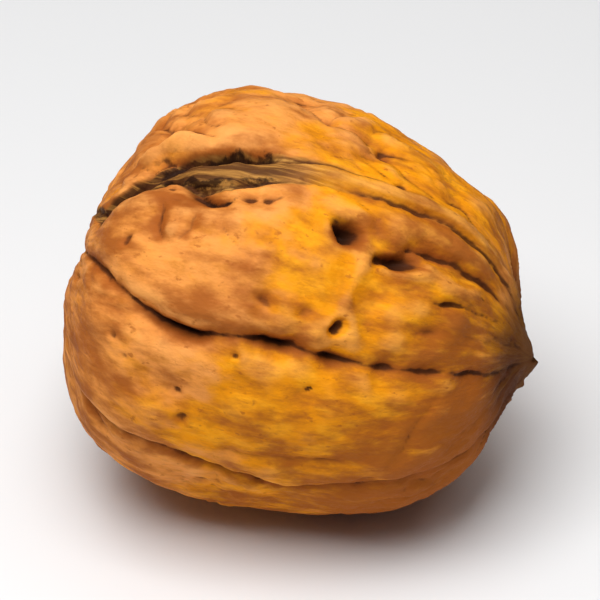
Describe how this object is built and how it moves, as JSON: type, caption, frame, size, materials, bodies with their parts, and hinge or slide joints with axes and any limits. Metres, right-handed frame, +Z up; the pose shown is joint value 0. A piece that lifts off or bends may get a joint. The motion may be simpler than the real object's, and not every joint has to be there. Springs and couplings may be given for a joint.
{
  "type": "walnut",
  "caption": "Whole ripe walnut in its closed shell, lying on its side on a small flat spot, with seam, furrows, pits, fine creases and a pointed tip.",
  "frame": {"origin": "middle of the small flat spot that the nut rests on, under its weight", "axes": "+X from the stalk end towards the tip along the nut's length, +Y to the back of the nut, +Z up"},
  "size_m": [0.0401, 0.0349, 0.0358],
  "materials": {
    "shell": "dry woody nutshell, satin, peach to ochre with dark brown creases"
  },
  "bodies": {
    "root": {"walnut": "shell"}
  },
  "joints": []
}
